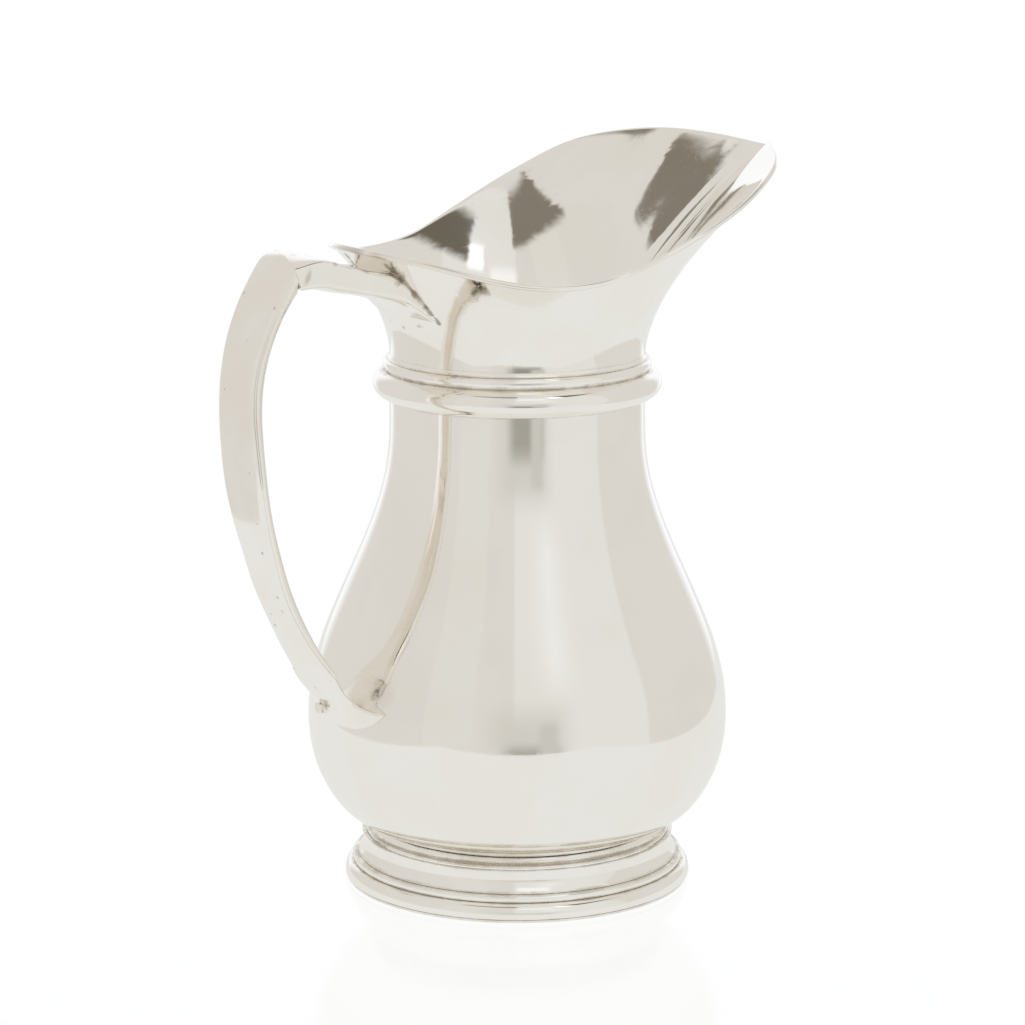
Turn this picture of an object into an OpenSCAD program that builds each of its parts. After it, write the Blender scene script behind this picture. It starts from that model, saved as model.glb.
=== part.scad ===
/* [Vessel] */
// Radius of the belly at its widest
belly_r = 70.2; // [66:0.1:74]
// Height of the widest part of the belly
belly_z = 56.6; // [52:0.1:60]
// Radius of the waist under the collar
waist_r = 42.2; // [40:0.1:44]
// Height of the seam between body and neck, hidden by the collar
seam_z = 169.5; // [168:0.1:171]
// Thickness of the silver sheet
sheet = 1; // [0.8:0.1:1.6]

/* [Mouth] */
// Height at which the neck starts to flare
flare_z = 179; // [178:0.5:182]
// How late the flare opens at the spout
flare_front = 1.58; // [1.3:0.01:1.9]
// How late the flare opens over the handle
flare_back = 1.8; // [1.4:0.01:2.2]
// Width of the wire that stiffens the rim
wire_w = 2.4; // [1.6:0.1:3]

/* [Collar] */
// Outer radius of the large half-round ring
collar_r = 47.8; // [46:0.1:50]
// Height of the ring's lower edge
collar_z = 164.3; // [162:0.1:165]
// Height of the ring itself
collar_h = 9.6; // [8:0.1:10]
// Height of the small bead above the ring
bead_h = 3.4; // [2.5:0.1:4]

/* [Foot] */
// Radius of the foot at the table
foot_r = 58; // [56:0.1:60]
// Height of the flange that stands on the table
flange_h = 6.2; // [5:0.1:7]
// Height of the bead above the flange
foot_bead_h = 2.6; // [2:0.1:3]
// Height of the hollow drum above the bead
drum_h = 7.6; // [7:0.1:8]

/* [Handle] */
// Thickness of the outer strap
strap_t = 1.6; // [1.2:0.1:2]
// Half width of the tongue on the belly
tongue_w = 19.5; // [17:0.5:21]
// Length of the vent slot
vent_l = 3.6; // [2.5:0.1:4.5]
// Width of the vent slot
vent_w = 1.3; // [1:0.1:1.8]

/* [Hidden] */
silver = [0.86, 0.85, 0.82];
shade = [0.78, 0.77, 0.74];
turned = 96; // facets of a full turn

// The rim, seen from above: angle from the spout's tip, radius and height. Both halves are alike.
rim = [[0, 104.5, 240], [8, 96, 242.8], [18, 88, 244.5], [30, 85.6, 243], [42, 83, 239], [54, 76.8, 231],
    [66, 69.4, 223.3], [78, 63.6, 217], [90, 59.6, 212], [104, 58.6, 209.6], [120, 59, 209.8],
    [136, 60, 212.6], [150, 61.6, 215.8], [165, 63.4, 217.8], [180, 64, 218.6]];
// The handle's outer face: distance behind the axis, height, half width and depth of the shell behind it
grip = [[86.2, 218.6, 12, 9.2], [91.2, 217.2, 12, 8.6], [95.4, 211.8, 12.1, 7.4], [101, 202.6, 11.8, 6.4], [105.6, 192, 11, 6.6],
    [108.3, 181, 10.3, 6.8], [109, 170, 10.4, 6.4], [108.3, 158, 10.9, 6], [107, 146, 10.9, 5.8],
    [104.8, 134, 10.1, 5.8], [101.7, 122.6, 9, 6], [98.2, 111, 8.4, 6.2], [93, 99.5, 8.2, 5.8],
    [86.8, 88.5, 9.9, 4.8], [81.2, 80.6, 12.2, 4.2]];
// The belly's lower curve: height, radius and slope
base = [[14.5, 30, 8], [19.4, 47.6, 2.9], [30, 62.4, 0.7], [belly_z, belly_r, 0], [86, 64.2, -0.4],
    [113, 52.4, -0.44], [150, waist_r + 0.2, -0.02], [seam_z, waist_r, 0]];
pole_z = 12.6; // the flat middle of the belly's underside

function last(v) = len(v) - 1;
function mix(a, b, t) = a + (b - a) * t;
function smooth(t) = t * t * (3 - 2 * t);
// a cubic through p and q with slopes m and n, over a step h
function cubic(p, m, q, n, h, t) = (2 * t * t * t - 3 * t * t + 1) * p + (t * t * t - 2 * t * t + t) * m * h
    + (3 * t * t - 2 * t * t * t) * q + (t * t * t - t * t) * n * h;
// the row of a table that key falls in
function row(v, key, i = 0) = i >= last(v) - 1 || v[i + 1][0] >= key ? i : row(v, key, i + 1);
// column c of a table at key, a smooth curve through its rows
function slope(v, c, i) = i == 0 || i == last(v) ? 0 : (v[i + 1][c] - v[i - 1][c]) / (v[i + 1][0] - v[i - 1][0]);
function column(v, c, key) = let (i = row(v, key), h = v[i + 1][0] - v[i][0], t = (key - v[i][0]) / h)
    cubic(v[i][c], slope(v, c, i), v[i + 1][c], slope(v, c, i + 1), h, t);

// outer radius of the belly at height z
function belly(z) = let (i = row(base, z), h = base[i + 1][0] - base[i][0], t = (z - base[i][0]) / h)
    cubic(base[i][1], base[i][2], base[i + 1][1], base[i + 1][2], h, t);
function side_of(a) = let (d = abs(a) % 360) d > 180 ? 360 - d : d;
function rim_r(a) = column(rim, 1, side_of(a));
function rim_z(a) = column(rim, 2, side_of(a));
function late(a) = mix(flare_front, flare_back, smooth(side_of(a) / 180));
// outer radius of the neck at angle a and share t of the way up the flare
function flare(a, t) = mix(waist_r, rim_r(a), pow(t, late(a)));
function neck_r(a, z) = flare(a, min(1, max(0, (z - flare_z) / (rim_z(a) - flare_z))));
// how far behind the axis the neck's outside is, at a sideways distance y and height z
function neck_back(y, z, guess = 50, n = 5) = n == 0 ? guess
    : neck_back(y, z, sqrt(pow(neck_r(180 - atan2(abs(y), guess), z), 2) - y * y), n - 1);
function belly_back(y, z) = sqrt(pow(belly(z), 2) - y * y);
// the handle's face at s, counted in rows of the table
function knot(s, c) = let (i = min(floor(s), last(grip) - 1), t = s - i,
    a = grip[max(0, i - 1)][c], p = grip[i][c], q = grip[i + 1][c], b = grip[min(last(grip), i + 2)][c])
    cubic(p, (q - a) / (i == 0 ? 1 : 2), q, (b - p) / (i + 1 == last(grip) ? 1 : 2), 1, t);
function along(s) = let (d = 0.05, a = max(0, s - d), b = min(last(grip), s + d),
    v = [knot(b, 0) - knot(a, 0), knot(b, 1) - knot(a, 1)]) v / norm(v);

// a closed skin over rings of equal count. A ring runs out along one side and back along the other, so an open
// run of rings is closed by a strip of triangles between the two sides; inward turns the faces round.
module skin(rings, joined = false, inward = false) {
    n = len(rings[0]);
    m = len(rings);
    far = (m - 1) * n;
    walls = [for (i = [0 : m - (joined ? 1 : 2)], j = [0 : n - 1]) let (k = (i + 1) % m, l = (j + 1) % n)
        each [[i * n + j, k * n + j, k * n + l], [i * n + j, k * n + l, i * n + l]]];
    ends = joined ? [] : [for (j = [0 : n / 2 - 2]) let (l = n - 2 - j, k = l + 1)
        each [[j, j + 1, l], [j, l, k], [far + j, far + l, far + j + 1], [far + j, far + k, far + l]]];
    faces = concat(walls, ends);
    polyhedron([for (r = rings) each r], inward ? [for (f = faces) [f[0], f[2], f[1]]] : faces);
}

module body() {
    rise = [for (i = [0 : 6]) [mix(0, base[0][1], i / 6), mix(pole_z, base[0][0], pow(i / 6, 2))]];
    wall = [for (i = [0 : last(base) - 1], k = [1 : 8]) let (z = mix(base[i][0], base[i + 1][0], k / 8)) [belly(z), z]];
    outside = concat(rise, wall);
    inside = [for (i = [last(outside) : -1 : 1]) let (a = outside[i - 1], b = outside[min(last(outside), i + 1)],
        d = (b - a) / norm(b - a)) outside[i] + sheet * [-d[1], d[0]]];
    color(silver) rotate_extrude($fn = turned)
        polygon(concat(outside, [[waist_r - sheet, seam_z]], [for (p = inside) if (p[1] < seam_z - 0.2) p],
            [[0, pole_z + sheet]]));
}

module neck() {
    up = 14;
    around = 72;
    heights = [for (k = [0 : up]) k / up];
    function wall_point(a, t, in) = let (r = flare(a, t) - in, z = mix(flare_z, rim_z(a), t)) [r * cos(a), r * sin(a), z];
    color(silver) skin([for (i = [0 : around - 1]) let (a = i * 360 / around)
        concat([[waist_r * cos(a), waist_r * sin(a), seam_z]],
            [for (t = heights) wall_point(a, t, 0)],
            [for (t = heights) wall_point(a, 1 - t, mix(sheet * 1.35, sheet, t))],
            [[(waist_r - sheet) * cos(a), (waist_r - sheet) * sin(a), seam_z]])], joined = true, inward = true);
}

// a half-round wire soldered to the outside of the mouth, just below its edge
module rim_wire() {
    around = 120;
    function lean(a) = let (d = [rim_r(a) - flare(a, 0.93), (rim_z(a) - flare_z) * 0.07]) d / norm(d);
    color(silver) skin([for (i = [0 : around - 1]) let (a = i * 360 / around, d = lean(a))
        [for (k = [0 : 8]) let (w = wire_w / 2, b = 90 - k * 22.5,
            r = rim_r(a) - d[0] * w + w * (sin(b) * d[0] + cos(b) * d[1] * 0.8),
            z = rim_z(a) - d[1] * w + w * (sin(b) * d[1] - cos(b) * d[0] * 0.8)) [r * cos(a), r * sin(a), z]]],
        joined = true);
}

module ring(points) {
    rotate_extrude($fn = turned) polygon(points);
}

// points of a half-round bulge from r at height z, h tall and b deep
function bulge(r, z, h, b) = [for (k = [0 : 16]) [r + b * cos(k * 11.25 - 90), z + h / 2 + h / 2 * sin(k * 11.25 - 90)]];

module collar_ring() {
    color(silver) ring(bulge(waist_r, collar_z, collar_h, collar_r - waist_r));
}

module collar_bead() {
    z = collar_z + collar_h;
    foot_of_neck = [for (k = [0 : 6]) [waist_r + 1.1 * (1 - sin(k * 15)), z + bead_h + 1.6 * (1 - cos(k * 15)) + 0.02]];
    color(silver) ring(concat(bulge(waist_r + 0.6, z, bead_h, 1.6),
        [for (p = foot_of_neck) p], [[waist_r, z + bead_h + 1.62], [waist_r, z]]));
}

drum_z = flange_h + foot_bead_h;
cove_z = drum_z + drum_h;

// a formed sheet: the outer curve, from the bottom up, and the same curve set back inside it
module formed(curve, back, down) {
    ring(concat(curve, [for (i = [last(curve) : -1 : 0]) curve[i] - [back, down]]));
}

// the hollow ring that fits up against the belly
module foot_cove() {
    top = [for (k = [0 : 4]) let (z = mix(18.4, 19.4, k / 4)) [belly(z), z]];
    color(shade) ring(concat([[45, cove_z], [50.9, cove_z], [50.9, cove_z + 0.5], [50.4, cove_z + 0.9]],
        [for (k = [1 : 6]) [47.9 + 2.5 * (1 - sin(k * 15)), cove_z + 0.9 + 1.9 * (1 - cos(k * 15))]],
        [for (i = [last(top) : -1 : 0]) top[i]]));
}

module foot_drum() {
    color(shade) formed([for (k = [0 : 10]) let (t = k / 10)
        [mix(54, 52.4, t) - 1.3 * sin(180 * t), drum_z + drum_h * t]], 1.6, 0);
}

module foot_bead() {
    color(silver) ring(concat([[51.6, flange_h]], bulge(54.2, flange_h, foot_bead_h, 1.4), [[51.6, drum_z]]));
}

module foot_flange() {
    low = 1.2;
    depth = 2.9; // of the quarter round
    color(silver) ring(concat([[foot_r - 0.4, low], [foot_r, low + 0.5]],
        [for (k = [0 : 12]) let (a = k * 7.5)
            [foot_r - depth + depth * cos(a), low + 1.2 + (flange_h - low - 1.2) * sin(a)]],
        [[52.6, flange_h], [52.6, flange_h - 1.3], [54.6, flange_h - 1.5], [55.9, flange_h - 2.4], [56.4, low]]));
}

// the flat ring that the pitcher stands on
module foot_wire() {
    color(shade) difference() {
        cylinder(r = foot_r - 0.5, h = 1.2, $fn = turned);
        translate([0, 0, -1]) cylinder(r = foot_r - 6, h = 4, $fn = turned);
    }
}

steps = 52;
mitre = [0.28, -0.96]; // the line in which the strap and the arm meet, seen from the side
skew = 0.058; // how far that joint slants across the handle
// a point of the handle's section: y across, deep behind the face, towards the vessel
function grip_point(at, deep, y) = let (k = smooth(min(1, at / 2.5)), s = at + skew * (12 - y) * (1 - k), d = along(s),
    v = mix(mitre, [-d[1], -d[0]], k)) [-(knot(s, 0) - v[0] * deep), y, knot(s, 1) + v[1] * deep];

module handle_strap() {
    across = [-1, -0.55, 0, 0.55, 1];
    crown = 0.35; // how far the middle of the face stands out
    color(silver) skin([for (i = [0 : steps]) let (s = i * last(grip) / steps, w = knot(s, 2))
        concat([for (y = across) grip_point(s, -crown * (1 - y * y), y * w)],
            [for (y = across) grip_point(s, strap_t, -y * w)])]);
}

// the trough behind the strap, which makes the handle hollow
module handle_shell() {
    bend = 10;
    function trough(s, w, d) = [for (k = [0 : bend]) let (a = 90 - k * 180 / bend)
        grip_point(s, strap_t + d * pow(cos(a), 0.75), w * (a == 0 ? 0 : sign(a) * pow(abs(sin(a)), 0.8)))];
    color(shade) skin([for (i = [0 : steps]) let (s = i * last(grip) / steps, w = knot(s, 2) * 0.96,
        d = knot(s, 3) - strap_t, in = trough(s, w - sheet, d - sheet), out = trough(s, w, d))
        concat(out, [for (k = [bend : -1 : 0]) in[k]])]);
}

// the hollow arm from the handle's top corner to the back of the neck, its end let down against the neck
module handle_arm() {
    half_w = 12;
    // how far back and how high the section's top is, then its bottom
    arm = [[82.6, 218.2, 81.4, 207.2], [77, 216.3, 76.6, 205.4], [70, 214, 70, 204.3], [64.4, 212.4, 64.4, 203.2]];
    low_z = 191;
    foot_w = 19; // half width of the let-down end at its foot
    toe = 14; // how far the let-down end stands out from the neck
    // the section: across, and from the top down
    cut = [[0.45, 0], [0.94, 0.02], [1, 0.1], [1, 0.35], [1, 0.6], [0.97, 0.8], [0.8, 0.94], [0.4, 1]];
    both = concat(cut, [for (i = [last(cut) : -1 : 0]) [-cut[i][0], cut[i][1]]]);
    // the first ring is the slanting joint with the strap
    joint = [for (p = both) grip_point(0, mix(-0.35, 9.2, p[1]), p[0] * half_w)];
    free = [for (a = arm) [for (p = both) [-mix(a[0], a[2], p[1]), p[0] * half_w, mix(a[1], a[3], p[1])]]];
    // the last rings hang down and end on the neck's own surface
    hung = [for (f = [0.35, 0.7, 1]) [for (p = both) let (y = p[0] * mix(half_w, foot_w, p[1] * f),
        z = mix(mix(212, 202.6, p[1]), mix(211.2, low_z, p[1]), pow(f, 1.3)), shut = -neck_back(y, z) - 0.05,
        out = mix(-61.5, -41 - toe, smooth(p[1])))
        [mix(min(out, shut - 0.4), shut, 1 - pow(1 - f, 1.3)), y, z]]];
    color(silver) skin(concat([joint], free, hung), inward = true);
}

// the flared end that is soldered to the belly, with the slot that vents the hollow handle
module handle_tongue() {
    rows = 12;
    cols = 12;
    top = grip[last(grip)];
    run = along(last(grip));
    low_z = 62.6; // lowest point of the tongue's edge
    wing_z = 69.6; // height of its two tips
    function half(v) = mix(top[2], tongue_w, smooth(max(0, (v - 0.74) / 0.26)));
    function height(u, v) = mix(top[1], mix(low_z, wing_z, pow(abs(u), 4)), v);
    // how far the face stands behind the axis: on from the strap's face, and wrapped round the belly at the edge
    function face(u, v) = let (y = u * half(v), z = height(u, v))
        mix(mix(top[0], 71.6, (top[1] - z) / (top[1] - low_z)), belly_back(y, z) + 0.7, pow(v, 4));
    function depth(u, v) = mix(strap_t + (top[3] - strap_t) * sqrt(max(0, 1 - u * u)), 0.6, v * v);
    function spot(k, v, out) = let (u = 2 * k / cols, y = u * half(v), z = height(u, v), d = out ? 0 : depth(u, v),
        lifted = z - run[0] * d * (1 - v), back = face(u, v) + d * mix(run[1], -1, v))
        [-max(back, belly_back(y, lifted) + 0.04), y, lifted];
    color(silver) difference() {
        skin([for (i = [0 : rows]) let (v = 1 - pow(1 - i / rows, 1.5))
            concat([for (k = [-cols / 2 : cols / 2]) spot(k, v, true)],
                [for (k = [cols / 2 : -1 : -cols / 2]) spot(k, v, false)])]);
        translate([-73.5, 5.6, 67.4]) rotate([0, 100, 0]) rotate([0, 0, 55]) translate([0, 0, -4]) linear_extrude(12)
            polygon([for (k = [0 : 15]) let (a = k * 180 / 7 - (k > 7 ? 180 / 7 : 0))
                [vent_w / 2 * cos(a), vent_w / 2 * sin(a) + (k > 7 ? -1 : 1) * (vent_l - vent_w) / 2]]);
    }
}

body();
neck();
rim_wire();
collar_ring();
collar_bead();
foot_cove();
foot_drum();
foot_bead();
foot_flange();
foot_wire();
handle_strap();
handle_shell();
handle_arm();
handle_tongue();
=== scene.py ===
import bpy
import math
from mathutils import Matrix, Vector


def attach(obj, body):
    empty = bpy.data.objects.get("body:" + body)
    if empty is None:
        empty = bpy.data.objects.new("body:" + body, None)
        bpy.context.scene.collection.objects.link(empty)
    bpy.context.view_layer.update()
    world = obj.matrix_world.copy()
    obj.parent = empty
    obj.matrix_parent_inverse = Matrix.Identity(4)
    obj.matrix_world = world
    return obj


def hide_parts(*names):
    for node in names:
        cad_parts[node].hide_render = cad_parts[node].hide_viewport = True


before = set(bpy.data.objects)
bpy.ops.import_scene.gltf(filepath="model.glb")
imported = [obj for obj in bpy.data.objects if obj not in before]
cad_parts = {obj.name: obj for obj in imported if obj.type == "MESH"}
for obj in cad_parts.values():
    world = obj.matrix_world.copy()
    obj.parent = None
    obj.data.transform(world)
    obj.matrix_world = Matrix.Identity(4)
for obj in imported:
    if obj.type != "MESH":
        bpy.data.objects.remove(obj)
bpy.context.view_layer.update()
print("frame loaded:", len(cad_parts), "pieces")

mm = 0.001


def mix(a, b, t):
    return a + (b - a) * t


def clamp(t):
    return max(0.0, min(1.0, t))


def ease(t):
    t = clamp(t)
    return t * t * (3 - 2 * t)


def cubic(p, m, q, n, h, t):
    return ((2 * t**3 - 3 * t * t + 1) * p + (t**3 - 2 * t * t + t) * m * h
            + (3 * t * t - 2 * t**3) * q + (t**3 - t * t) * n * h)


view = {"turn": -35.0, "down": 12.1, "distance": 1.3008, "height": 0.4033, "aside": -0.00156, "lens": 140.49}


def makeCamera():
    turn = math.radians(view["turn"])
    back = Vector((math.sin(turn), -math.cos(turn), 0))
    right = Vector((math.cos(turn), math.sin(turn), 0))
    data = bpy.data.cameras.new("studioCamera")
    data.sensor_width = 36
    data.lens = view["lens"]
    data.clip_start, data.clip_end = 0.01, 50
    camera = bpy.data.objects.new("studioCamera", data)
    bpy.context.scene.collection.objects.link(camera)
    camera.location = back * view["distance"] + right * view["aside"] + Vector((0, 0, view["height"]))
    camera.rotation_euler = (math.radians(90 - view["down"]), 0, turn)
    bpy.context.scene.camera = camera
    return back, right


towardsCamera, cameraRight = makeCamera()
print("camera placed")


def freshSelection():
    if bpy.context.object and bpy.context.object.mode != "OBJECT":
        bpy.ops.object.mode_set(mode="OBJECT")
    bpy.ops.object.select_all(action="DESELECT")


def settle(name, smoothAngle=60, levels=0):
    piece = bpy.context.object
    piece.name = piece.data.name = name
    if levels:
        bpy.ops.object.modifier_add(type="SUBSURF")
        piece.modifiers[-1].levels = piece.modifiers[-1].render_levels = levels
        bpy.ops.object.modifier_apply(modifier=piece.modifiers[-1].name)
    bpy.ops.object.transform_apply(location=True, rotation=True, scale=True)
    bpy.ops.object.shade_smooth_by_angle(angle=math.radians(smoothAngle))
    return piece


def turned(name, outline, around=64, levels=1, closed=False, smoothAngle=60):
    # a ring of points is pulled up and scaled from step to step, as on a lathe
    grow = 3 / (2 + math.cos(2 * math.pi / around)) if levels else 1
    steps = [(max(r * grow, 1e-5), z) for r, z in outline]
    if closed:
        steps.append(steps[0])
    freshSelection()
    bpy.ops.mesh.primitive_circle_add(vertices=around, radius=steps[0][0], location=(0, 0, steps[0][1]))
    bpy.ops.object.mode_set(mode="EDIT")
    bpy.ops.mesh.select_all(action="SELECT")
    for (lastR, lastZ), (r, z) in zip(steps, steps[1:]):
        bpy.ops.mesh.extrude_edges_move(TRANSFORM_OT_translate={"value": (0, 0, z - lastZ)})
        k = r / lastR
        bpy.ops.transform.resize(value=(k, k, 1), center_override=(0, 0, z))
    bpy.ops.mesh.select_all(action="SELECT")
    bpy.ops.mesh.remove_doubles(threshold=3e-5)
    bpy.ops.mesh.normals_make_consistent(inside=False)
    bpy.ops.object.mode_set(mode="OBJECT")
    return settle(name, smoothAngle, levels)


def lofted(name, rows, around, place, levels=1, loop=False, smoothAngle=60):
    # a tube of rings is pulled up from a circle, then each of its points goes to its place
    freshSelection()
    bpy.ops.mesh.primitive_circle_add(vertices=around, radius=1, location=(0, 0, 0))
    bpy.ops.object.mode_set(mode="EDIT")
    bpy.ops.mesh.select_all(action="SELECT")
    for i in range(rows - 1):
        bpy.ops.mesh.extrude_edges_move(TRANSFORM_OT_translate={"value": (0, 0, 1)})
    bpy.ops.object.mode_set(mode="OBJECT")
    piece = bpy.context.object
    for v in piece.data.vertices:
        i = round(v.co.z)
        j = round(math.atan2(v.co.y, v.co.x) / (2 * math.pi) * around) % around
        v.co = Vector(place(i, j)) * mm
    bpy.ops.object.mode_set(mode="EDIT")
    bpy.ops.mesh.select_all(action="SELECT")
    bpy.ops.mesh.remove_doubles(threshold=2e-6)
    if not loop:
        bpy.ops.mesh.select_all(action="DESELECT")
        bpy.ops.mesh.select_non_manifold()
        bpy.ops.transform.edge_crease(value=1)  # the cut ends stay sharp
        bpy.ops.mesh.select_all(action="SELECT")
        bpy.ops.mesh.fill_holes(sides=0)
    bpy.ops.mesh.select_all(action="SELECT")
    bpy.ops.mesh.normals_make_consistent(inside=False)
    bpy.ops.object.mode_set(mode="OBJECT")
    return settle(name, smoothAngle, levels)


def inMetres(points):
    return [(r * mm, z * mm) for r, z in points]


def arc(middle, across, tall, start, end, count):
    # points along an ellipse round middle, the angles in degrees from straight out towards straight up
    turns = [math.radians(mix(start, end, k / (count - 1))) for k in range(count)]
    return [(middle[0] + across * math.cos(a), middle[1] + tall * math.sin(a)) for a in turns]


def rollProfile(r, z, tall, deep, count=9):
    # a half-round moulding, from its lower edge out and up to its upper edge
    return inMetres(arc((r, z + tall / 2), deep, tall / 2, -90, 90, count))


# sizes in millimetres, from the table up
vessel = {
    "baseCurve": [(14.5, 30, 8), (19.4, 47.6, 2.9), (30, 62.4, 0.7), (56.6, 70.2, 0), (86, 64.2, -0.4),
                  (113, 52.4, -0.44), (150, 42.4, -0.02), (169.5, 42.2, 0)],  # height, radius, slope
    "pole": 12.6, "footOfCurve": 14.5, "waist": 42.2, "seam": 169.5,
    "sheet": 1.0, "rootWall": 1.35, "lipWall": 1.0,
    "flareStart": 179.0, "lateFront": 1.58, "lateBack": 1.8,
}
# angle from the spout, radius and height of the lip
lip = [(0, 104.5, 240), (8, 96, 242.8), (18, 88, 244.5), (30, 85.6, 243), (42, 83, 239), (54, 76.8, 231),
       (66, 69.4, 223.3), (78, 63.6, 217), (90, 59.6, 212), (104, 58.6, 209.6), (120, 59, 209.8),
       (136, 60, 212.6), (150, 61.6, 215.8), (165, 63.4, 217.8), (180, 64, 218.6)]


def bellyRadius(z):
    rows = vessel["baseCurve"]
    i = next((k for k in range(len(rows) - 1) if rows[k + 1][0] >= z), len(rows) - 2)
    a, b = rows[i], rows[i + 1]
    h = b[0] - a[0]
    return cubic(a[1], a[2], b[1], b[2], h, (z - a[0]) / h)


def lipColumn(c, angle):
    key = abs(angle) % 360
    key = 360 - key if key > 180 else key
    i = next((k for k in range(len(lip) - 1) if lip[k + 1][0] >= key), len(lip) - 2)

    def slope(k):
        if k in (0, len(lip) - 1):
            return 0
        return (lip[k + 1][c] - lip[k - 1][c]) / (lip[k + 1][0] - lip[k - 1][0])
    h = lip[i + 1][0] - lip[i][0]
    return cubic(lip[i][c], slope(i), lip[i + 1][c], slope(i + 1), h, (key - lip[i][0]) / h)


def flareRadius(angle, t):
    key = abs(angle) % 360
    key = 360 - key if key > 180 else key
    late = mix(vessel["lateFront"], vessel["lateBack"], ease(key / 180))
    return mix(vessel["waist"], lipColumn(1, angle), t**late)


def neckRadius(angle, z):
    start = vessel["flareStart"]
    return flareRadius(angle, clamp((z - start) / (lipColumn(2, angle) - start)))


def neckBack(y, z):
    guess = 50
    for _ in range(6):
        r = neckRadius(180 - math.degrees(math.atan2(abs(y), guess)), z)
        guess = math.sqrt(max(1, r * r - y * y))
    return guess


def bellyBack(y, z):
    return math.sqrt(max(1, bellyRadius(z)**2 - y * y))


def makeBody():
    bottom = [(r, mix(vessel["pole"], vessel["footOfCurve"], (r / 30)**2)) for r in (0, 7.5, 15, 22.5)]
    heights = [14.5, 16.5, 19.4, 23, 27, 32, 38] + list(range(45, 150, 8)) + [156, 162, 166, 168.6, 169.4]
    outside = bottom + [(bellyRadius(z), z) for z in heights]
    inside = []
    for k in range(len(outside) - 1, 0, -1):
        a, b = outside[k - 1], outside[min(len(outside) - 1, k + 1)]
        n = math.hypot(b[0] - a[0], b[1] - a[1]) / vessel["sheet"]
        inside.append((outside[k][0] - (b[1] - a[1]) / n, outside[k][1] + (b[0] - a[0]) / n))
    brim = heights[-1]
    inside = [(r, min(z, brim)) for r, z in inside if r > 0] + [(0, vessel["pole"] + vessel["sheet"])]
    return turned("bellyShell", inMetres(outside + inside), around=48, levels=2, smoothAngle=50)


def lipAngle(j, count):
    # rings stand closer together at the tip of the spout
    turn = 2 * math.pi * j / count
    return math.degrees(turn) - 24 * math.sin(turn)


def makeNeck():
    # rings go up the outside, over the lip and down the inside
    count, collarHidden = 96, 1.5
    rises = (0, 0.06, 0.13, 0.21, 0.3, 0.4, 0.5, 0.6, 0.7, 0.8, 0.89, 0.955, 0.99)
    wall = [("straight", 0), ("straight", 0.5)] + [("flare", t) for t in rises]
    rows = [(kind, t, 0) for kind, t in wall] + [("flare", 1.003, 0.35), ("flare", 1.003, 0.65)] \
        + [(kind, t, 1) for kind, t in reversed(wall)]

    def place(i, j):
        kind, t, inner = rows[i % len(rows)]
        angle = lipAngle(j, count)
        a = math.radians(angle)
        if kind == "straight":
            r = vessel["waist"] - inner * 0.98
            z = mix(vessel["seam"] + 0.1, vessel["flareStart"] - collarHidden, t * 1.6)
        else:
            r = flareRadius(angle, min(1, t)) - inner * mix(vessel["rootWall"], vessel["lipWall"], t)
            z = mix(vessel["flareStart"], lipColumn(2, angle), t)
        return r * math.cos(a), r * math.sin(a), z
    return lofted("flaredNeck", len(rows) + 1, count, place, levels=2, loop=True, smoothAngle=70)


def lipFrame(angle):
    d = (lipColumn(1, angle) - flareRadius(angle, 0.93), (lipColumn(2, angle) - vessel["flareStart"]) * 0.07)
    n = math.hypot(*d)
    return d[0] / n, d[1] / n


lipWire = {"width": 2.3, "proud": 0.95}


def makeLipWire():
    count, ring = 120, 10

    def place(i, j):
        angle = lipAngle(i % count, count)
        a = math.radians(angle)
        d = lipFrame(angle)
        w = lipWire["width"] / 2
        b = math.radians(90 - j * 360 / ring)
        out = math.cos(b) * (lipWire["proud"] if math.cos(b) > 0 else 0.35) * w
        r = lipColumn(1, angle) - d[0] * w + math.sin(b) * d[0] * w + out * d[1]
        z = lipColumn(2, angle) - d[1] * w + math.sin(b) * d[1] * w - out * d[0]
        return r * math.cos(a), r * math.sin(a), z
    return lofted("lipWire", count + 1, ring, place, levels=1, loop=True, smoothAngle=70)


collar = {"ringZ": 164.3, "ringTall": 9.6, "ringOut": 47.8, "beadIn": 42.8, "beadTall": 3.4, "beadDeep": 1.6,
          "filletOut": 1.1, "filletTall": 1.6, "back": 41.9}


def makeCollar():
    z, tall, back = collar["ringZ"], collar["ringTall"], collar["back"]
    deep = collar["ringOut"] - vessel["waist"]
    roll = rollProfile(vessel["waist"], z, tall, deep, 13) + inMetres([(back, z + tall / 2)])
    ring = turned("collarRing", roll, around=64, levels=2, closed=True, smoothAngle=50)
    top = z + tall
    # the bead stands on a short skirt, and a fillet above it runs into the neck
    skirt = [(44.15, top - 0.4), (44.0, top + 0.3)]
    bead = rollProfile(collar["beadIn"], top + 0.02, collar["beadTall"], collar["beadDeep"], 9)[3:]
    corner = (vessel["waist"] + collar["filletOut"], top + collar["beadTall"] + collar["filletTall"])
    fillet = arc(corner, collar["filletOut"], collar["filletTall"], -90, -180, 6)
    section = inMetres(skirt) + bead + inMetres(fillet + [(back, top + 5), (back, top - 0.4)])
    return ring, turned("collarBead", section, around=64, levels=2, closed=True, smoothAngle=50)


foot = {"wireTop": 1.2, "flangeOut": 58, "flangeTop": 6.2, "domeDeep": 2.9, "domeTall": 3.8,
        "beadZ": 6.22, "beadTall": 2.56, "beadIn": 54.2, "beadDeep": 1.4,
        "drumZ": 8.8, "drumTall": 7.6, "drumFoot": 54, "drumHead": 52.4, "drumHollow": 1.3, "drumSheet": 1.6,
        "coveIn": 47.9, "coveDeep": 2.5, "coveZ": 17.3, "coveTall": 1.9}


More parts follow.
